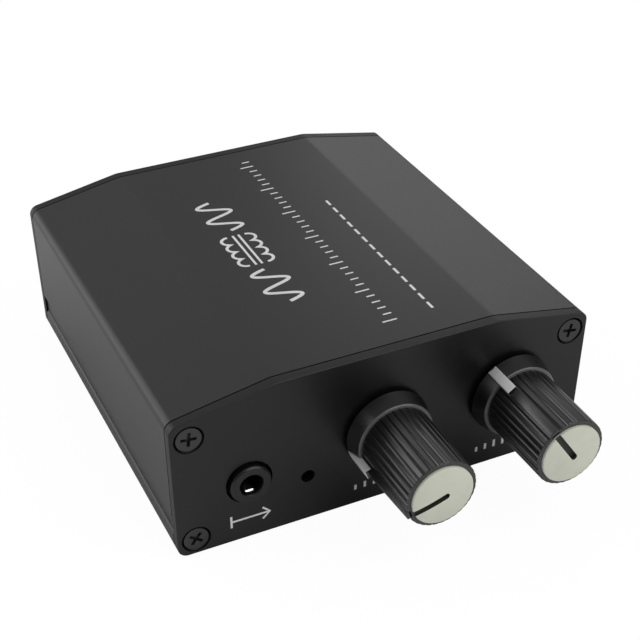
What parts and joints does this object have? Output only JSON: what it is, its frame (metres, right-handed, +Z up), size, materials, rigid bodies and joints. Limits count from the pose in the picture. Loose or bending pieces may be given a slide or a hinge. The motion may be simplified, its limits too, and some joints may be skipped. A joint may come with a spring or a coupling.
{
  "type": "audio isolation amplifier",
  "caption": "Desk-top audio isolation amplifier: black extruded aluminium case with sloping shoulders, screwed end panels, jack sockets, indicator hole and fluted level knobs",
  "frame": {"origin": "centre of the flat underside of the case", "axes": "+X right along the front panel, +Y from the front panel into the depth, +Z up"},
  "size_m": [0.0746, 0.096, 0.0294],
  "materials": {
    "anodised_black": "fine blasted, anodised black",
    "panel_black": "fine blasted, anodised black",
    "screw_black": "blackened steel",
    "board_green": "solder mask",
    "moulded_black": "moulded",
    "chip_black": "moulded",
    "tinned": "tinned",
    "nickel": "nickel plated",
    "shaft_metal": "nickel plated brass",
    "steel": "laminated",
    "copper": "enamelled wire",
    "knob_black": "satin moulded",
    "cap_ivory": "satin moulded",
    "lamp_lens": "diffused",
    "can_metal": "bright can",
    "resistor_black": "glazed",
    "capacitor_tan": "ceramic"
  },
  "bodies": {
    "case": {"amplifier_chip_1": "chip_black", "amplifier_chip_2": "chip_black", "amplifier_leads": "tinned", "capacitor_base_1": "moulded_black", "capacitor_base_2": "moulded_black", "capacitor_base_3": "moulded_black", "capacitor_base_4": "moulded_black", "capacitor_can_1": "can_metal", "capacitor_can_2": "can_metal", "capacitor_can_3": "can_metal", "capacitor_can_4": "can_metal", "chip_capacitors": "capacitor_tan", "chip_resistors": "resistor_black", "circuit_board": "board_green", "front_panel": "panel_black", "front_panel_screws": "screw_black", "indicator_lamp": "lamp_lens", "indicator_lamp_leads": "tinned", "input_socket_1": "moulded_black", "input_socket_1_contacts": "nickel", "input_socket_2": "moulded_black", "input_socket_2_contacts": "nickel", "left_control_bushing": "nickel", "left_control_housing": "moulded_black", "left_control_nut": "nickel", "left_control_pins": "tinned", "left_control_washer": "nickel", "lower_shell": "anodised_black", "output_socket": "moulded_black", "output_socket_contacts": "nickel", "power_socket": "moulded_black", "power_socket_lugs": "tinned", "power_socket_pin": "nickel", "rear_panel": "panel_black", "rear_panel_screws": "screw_black", "right_control_bushing": "nickel", "right_control_housing": "moulded_black", "right_control_nut": "nickel", "right_control_pins": "tinned", "right_control_washer": "nickel", "transformer_1_bobbin": "moulded_black", "transformer_1_core": "steel", "transformer_1_pins": "tinned", "transformer_1_winding": "copper", "transformer_2_bobbin": "moulded_black", "transformer_2_core": "steel", "transformer_2_pins": "tinned", "transformer_2_winding": "copper", "upper_shell": "anodised_black", "voltage_regulator": "chip_black", "voltage_regulator_leads": "tinned"},
    "left_knob": {"left_control_shaft": "shaft_metal", "left_control_rotor": "moulded_black", "left_knob_body": "knob_black", "left_knob_cap": "cap_ivory"},
    "right_knob": {"right_control_shaft": "shaft_metal", "right_control_rotor": "moulded_black", "right_knob_body": "knob_black", "right_knob_cap": "cap_ivory"}
  },
  "joints": [
    {"name": "left_level", "type": "hinge", "parent": "case", "child": "left_knob", "pos_m": [-0.0004, -0.04, 0.0146], "axis": [0, 1, 0], "range_deg": [-39, 261]},
    {"name": "right_level", "type": "hinge", "parent": "case", "child": "right_knob", "pos_m": [0.0229, -0.04, 0.0146], "axis": [0, 1, 0], "range_deg": [-115, 185]}
  ]
}
